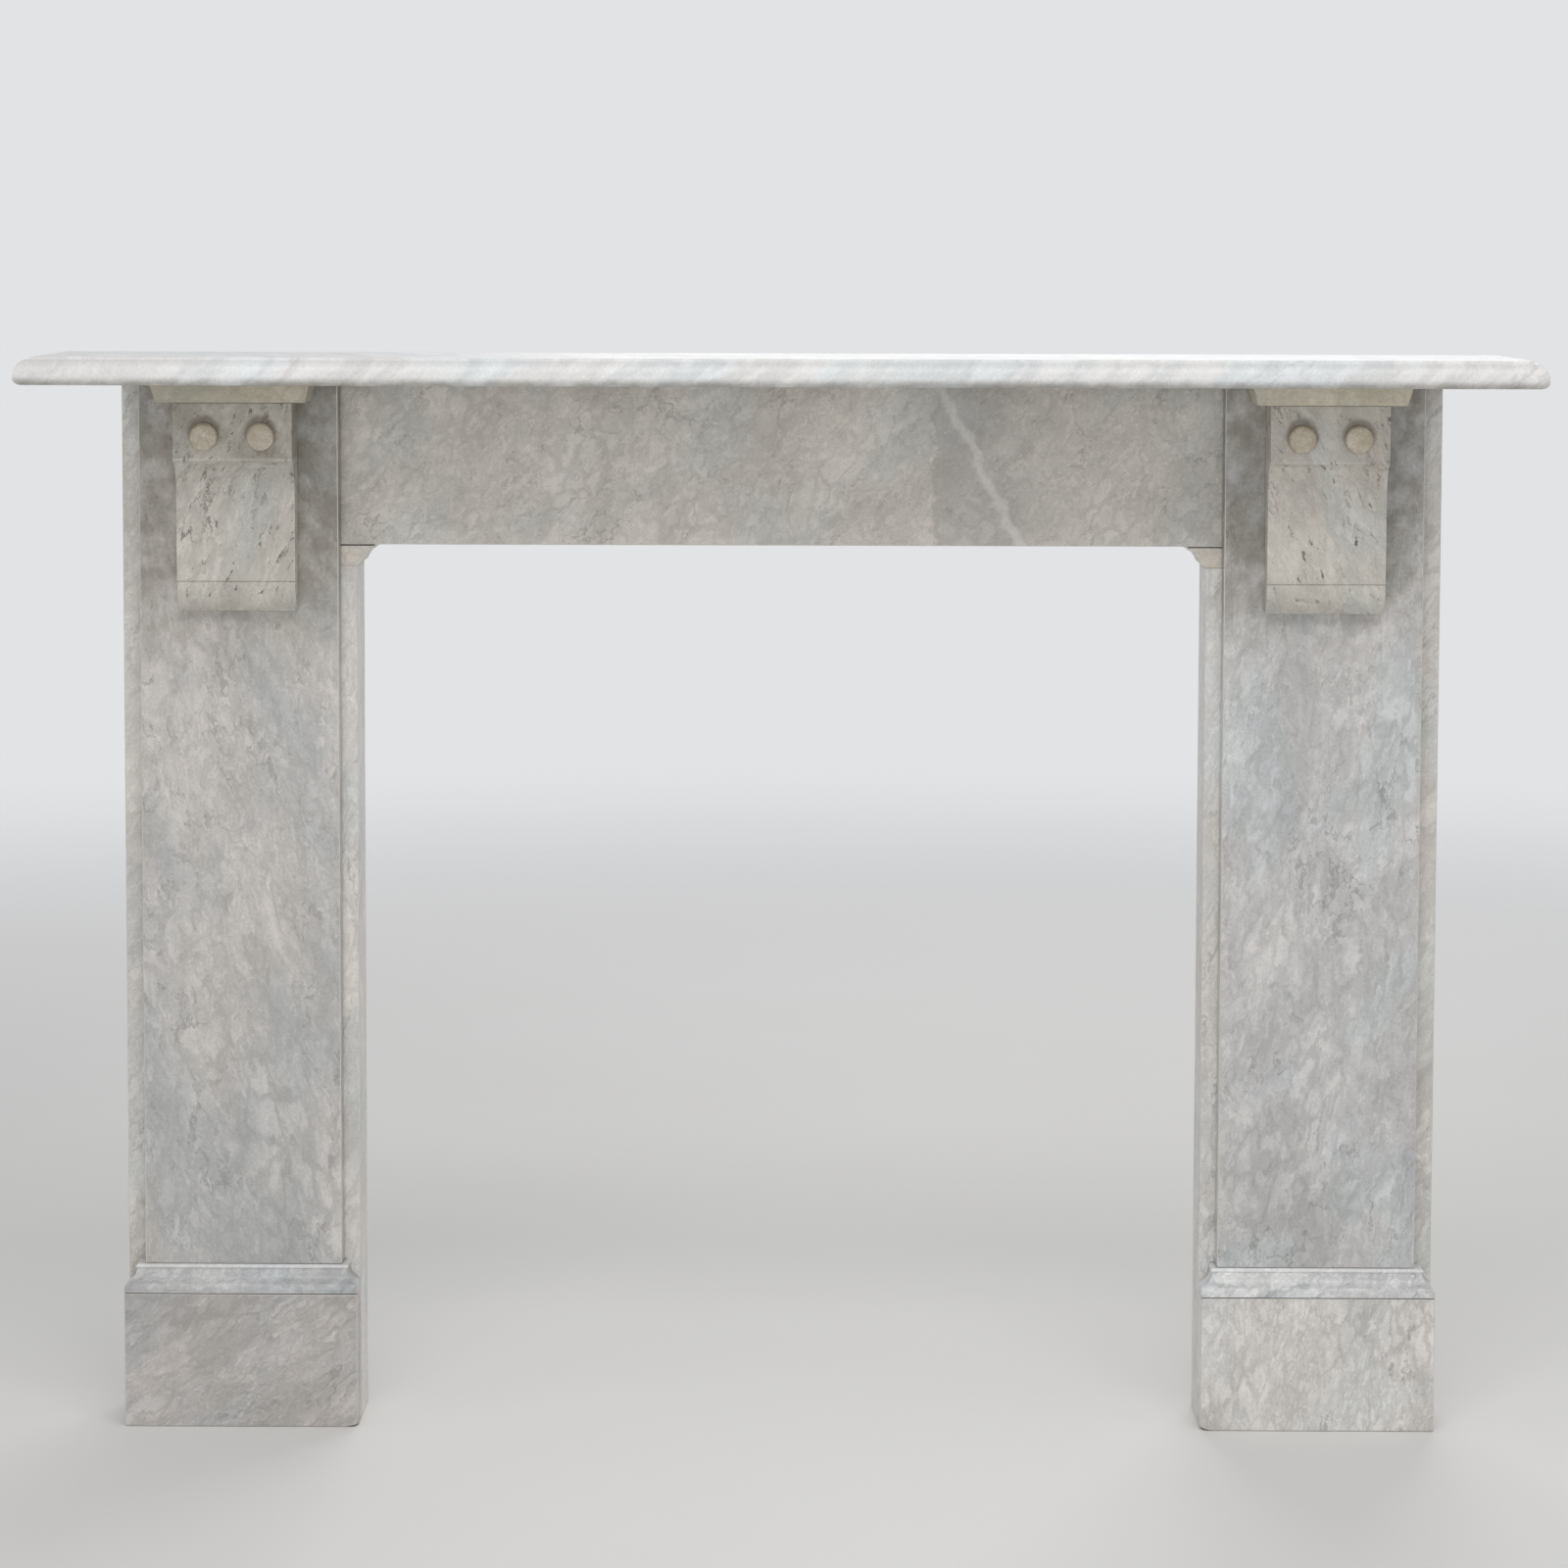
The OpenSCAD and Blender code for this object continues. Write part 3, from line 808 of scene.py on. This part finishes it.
# --- Corbels ----------------------------------------------------------------------------------
# Carved brackets in cream-white marble with short dark veins, fixed on the pilasters: a square
# head, a hollow under it, a long shaft with a fine cut line across it, and a curved foot.
CORBEL_OUT, SHAFT_OUT, CORBEL_FOOT_OUT = 47 * MM, 23 * MM, 10 * MM
HEAD, HOLLOW_HEIGHT, FOOT_HEIGHT, CUT, LIP = 60 * MM, 34 * MM, 31 * MM, 1.2 * MM, 1 * MM
foot_draw_in = SHAFT_OUT - CORBEL_FOOT_OUT
foot_radius = ((FOOT_HEIGHT - CUT) ** 2 + foot_draw_in ** 2) / (2 * foot_draw_in)
button_low, button_high = [Vector(c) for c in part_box("right_outer_roundel")]
button = (button_low + button_high) / 2
corbel_middle = (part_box("right_corbel")[0][0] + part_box("right_corbel")[1][0]) / 2


def off_button(tree, place, rise):
    """How far a place is from the middle of the nearest button, seen from the front. The middle
    is taken a little higher, by the rise."""
    at = add_node(tree, "ShaderNodeSeparateXYZ", {0: place}).outputs
    wander = add_node(
        tree, "ShaderNodeTexNoise", {"Vector": place, "Scale": 1 / (13 * MM), "Detail": 3.0}
    )
    side = add_node(tree, "ShaderNodeMath", {0: at["X"]}, operation="ABSOLUTE")
    off_middle = add_node(
        tree, "ShaderNodeMath", {0: side.outputs[0], 1: corbel_middle}, operation="SUBTRACT"
    )
    folded = add_node(tree, "ShaderNodeMath", {0: off_middle.outputs[0]}, operation="ABSOLUTE")
    across = add_node(
        tree, "ShaderNodeMath", {0: folded.outputs[0], 1: button.x - corbel_middle},
        operation="SUBTRACT",
    )
    up = add_node(
        tree, "ShaderNodeMath", {0: at["Z"], 1: button.z + rise}, operation="SUBTRACT"
    )
    flat = add_node(
        tree, "ShaderNodeCombineXYZ", {"X": across.outputs[0], "Z": up.outputs[0]}
    )
    off = add_node(tree, "ShaderNodeVectorMath", {0: flat.outputs[0]}, operation="LENGTH")
    return add_node(
        tree, "ShaderNodeMath", {0: wander.outputs["Fac"], 1: 5 * MM, 2: off.outputs["Value"]},
        operation="MULTIPLY_ADD",
    ).outputs[0]


# Corbel marble: cream-white with short dark flecks that lean inwards. Brown stain with painted
# shadow lies round the buttons, most above them, and smoke stain with painted shade darkens the
# head, most on the left.
for side, start, lean, sooty_and_shaded in (
    ("left", (0.6, 0.1, 0.2), 20, 0.52), ("right", (3.1, 0.4, 1.3), -22, 0.13)
):
    corbel_marble, tree = new_material(f"{side}_corbel_cream")
    colour, place = figure(
        tree, pale="d9d5cd", grey="c0bdb5", vein="625e57", start=start, turn=(0, lean, 0),
        stretch=(0.8, 1, 2.0), cell_mm=20, clouds=1.4, net=0.14, threads=0.7, flecks=0.95,
    )
    # Brown stain and painted shadow round each button, reaching furthest above it
    stain_and_shadow = add_node(
        tree, "ShaderNodeMapRange",
        {"Value": off_button(tree, place, rise=4.5 * MM), "From Min": 16 * MM,
         "From Max": 22 * MM, "To Min": 0.6, "To Max": 0.0},
        interpolation_type="SMOOTHSTEP",
    )
    colour = add_node(
        tree, "ShaderNodeMix", {0: stain_and_shadow.outputs["Result"], 6: colour, 7: srgb("5f5443")},
        data_type="RGBA",
    ).outputs[2]
    node = f"{side}_corbel"
    low, high = [Vector(c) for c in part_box(node)]
    height = high.z - low.z
    head_foot = high.z - HEAD
    # Smoke stain and painted shade from the shelf darken the head, above its lower edge
    honed(tree, colour, place, roughness=0.42, grime_and_shade=0.35,
          smoke_and_shade=(head_foot + 2 * MM, head_foot + 4.5 * MM, sooty_and_shaded))
    hollow_foot = height - HEAD - HOLLOW_HEIGHT
    profile = (
        [(0, height), (0, 0)]
        + arc((SHAFT_OUT - foot_radius, FOOT_HEIGHT - CUT), (foot_radius, foot_radius),
              -degrees(asin((FOOT_HEIGHT - CUT) / foot_radius)), 0)
        + [(SHAFT_OUT - CUT, FOOT_HEIGHT), (SHAFT_OUT, FOOT_HEIGHT + CUT)]
        + arc((CORBEL_OUT, hollow_foot), (SHAFT_OUT + LIP - CORBEL_OUT, HOLLOW_HEIGHT), 0, 86)
        + [(CORBEL_OUT, height - HEAD + LIP), (CORBEL_OUT, height)]
    )
    outline = [(low.x, high.y - out, low.z + rise) for out, rise in profile]
    bm = extruded(outline, (high.x - low.x, 0, 0))
    cut_across(bm, 0)
    cut_across(bm, 2)
    finish_piece(f"{side}_corbel_bracket", bm, [node], [corbel_marble, bruised_and_highlit],
                 wear=1.1)

# --- Roundels ---------------------------------------------------------------------------------
# Turned buttons of cream marble, two on the head of each corbel, with a straight edge and a low
# domed face. Damp has stained them ochre round the edge, and painted shade darkens the rim.

# Roundel marble: cream, finely mottled; stain and painted shade brown the rim, most at the top.
roundel_marble, tree = new_material("roundel_ochre_stained_and_shaded")
colour, place = figure(
    tree, pale="dad4c7", grey="c0b7a3", vein="8c7a58", start=(0.2, 0.2, 0.2), cell_mm=7,
    clouds=1.3, net=0.35, threads=0.5,
)
# Ochre stain and painted shade round the rim
rim_stain_and_shade = add_node(
    tree, "ShaderNodeMapRange",
    {"Value": off_button(tree, place, rise=-1.5 * MM), "From Min": 14.5 * MM,
     "From Max": 18 * MM, "To Max": 0.55},
    interpolation_type="SMOOTHSTEP",
)
rim_stained_and_shaded = add_node(
    tree, "ShaderNodeMix", {0: rim_stain_and_shade.outputs["Result"], 6: colour, 7: srgb("7a694c")},
    data_type="RGBA",
).outputs[2]
honed(tree, rim_stained_and_shaded, place, roughness=0.45, grime_and_shade=0.7)
for side in ("left", "right"):
    for which in ("outer", "inner"):
        node = f"{side}_{which}_roundel"
        low, high = [Vector(c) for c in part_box(node)]
        centre = (low + high) / 2
        radius, out = (high.x - low.x) / 2, high.y - low.y
        bm = bmesh.new()
        profile = [(0, 0), (radius, 0)] + arc((0, out / 2), (radius, out / 2), 0, 90)
        chain = [bm.verts.new((centre.x + r, high.y - edge, centre.z)) for r, edge in profile]
        edges = [bm.edges.new(pair) for pair in zip(chain, chain[1:])]
        bmesh.ops.spin(
            bm, geom=chain + edges, cent=(centre.x, high.y, centre.z), axis=(0, 1, 0),
            dvec=(0, 0, 0), angle=radians(360), steps=64, use_merge=True, use_duplicate=False,
        )
        bmesh.ops.remove_doubles(bm, verts=bm.verts, dist=0.01 * MM)
        finish_piece(f"{side}_{which}_button", bm, [node],
                     [roundel_marble, bruised_and_highlit], wear=0.25)

# --- Corbel caps ------------------------------------------------------------------------------
# Moulded blocks of cream marble between corbel and shelf: a splay with a rounded lower edge under
# a thin fillet, mitred round the front and both ends.
CAP_RISE, BED_FILLET, SPLAY_IN, EDGE_RADIUS = 21 * MM, 2.5 * MM, 4.5 * MM, 2 * MM
lower_edge = arc(
    (SPLAY_IN + EDGE_RADIUS, EDGE_RADIUS + TIGHT_JOINT), (-EDGE_RADIUS, EDGE_RADIUS), -90, -10
)
cap_profile = lower_edge + [(0, CAP_RISE - BED_FILLET), (0, CAP_RISE)]

# Corbel cap marble: yellowed cream with faint veins, darker with smoke on the left.
for side, start, pale, grey in (
    ("left", (0.5, 0.5, 0.1), "cbc5b3", "b5af9d"), ("right", (2.2, 0.3, 0.9), "dad4c3", "c3bdab")
):
    cap_marble, tree = new_material(f"{side}_corbel_cap_cream")
    colour, place = figure(
        tree, pale=pale, grey=grey, vein="8a8372", start=start, cell_mm=24, net=0.25,
        threads=0.3,
    )
    honed(tree, colour, place, roughness=0.42, grime_and_shade=0.7)
    node = f"{side}_corbel_cap"
    finish_piece(f"{side}_corbel_bed_mould", mitred_block(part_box(node), cap_profile), [node],
                 [cap_marble, bruised_and_highlit], wear=0.35)

# --- Shelf ------------------------------------------------------------------------------------
# The shelf is one slab of the whitest Carrara, polished, with soft grey streaks. A thumb moulding
# under a small square step runs along the front and both ends; the back edge is sawn.
SHELF_THICK, STEP = 28 * MM, 2.5 * MM
UNDER, THUMB_IN = 8 * MM, 13 * MM  # the rounding below, and how far in the thumb runs
shelf_profile = (
    arc((UNDER, UNDER), (UNDER, UNDER), -90, -180)
    + arc((THUMB_IN, UNDER), (-THUMB_IN, SHELF_THICK - STEP - UNDER), 6, 90)
    + [(THUMB_IN + 0.5 * MM, SHELF_THICK - STEP), (THUMB_IN + 2 * MM, SHELF_THICK)]
)

# Shelf marble: polished white with long soft grey streaks. Smoke stain and painted shade brown
# and darken the lower part of the moulding.
shelf_marble, tree = new_material("shelf_white_carrara")
colour, place = figure(
    tree, pale="f6f6f5", grey="eaebea", vein="96979a", start=(0.1, 0.1, 0.1), turn=(0, 50, 24),
    stretch=(0.75, 4.0, 2.6), cell_mm=50, clouds=0.8, net=0.2, threads=0.2,
)
shelf_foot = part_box("shelf")[0][2]
# Smoke stain and painted shade under the nosing
honed(tree, colour, place, roughness=0.38, grime_and_shade=0.2,
      smoke_and_shade=(shelf_foot + 11 * MM, shelf_foot + 0.5 * MM, 0.55))
finish_piece("marble_shelf", mitred_block(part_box("shelf"), shelf_profile), ["shelf"],
             [shelf_marble, bruised_and_highlit], wear=0.6)
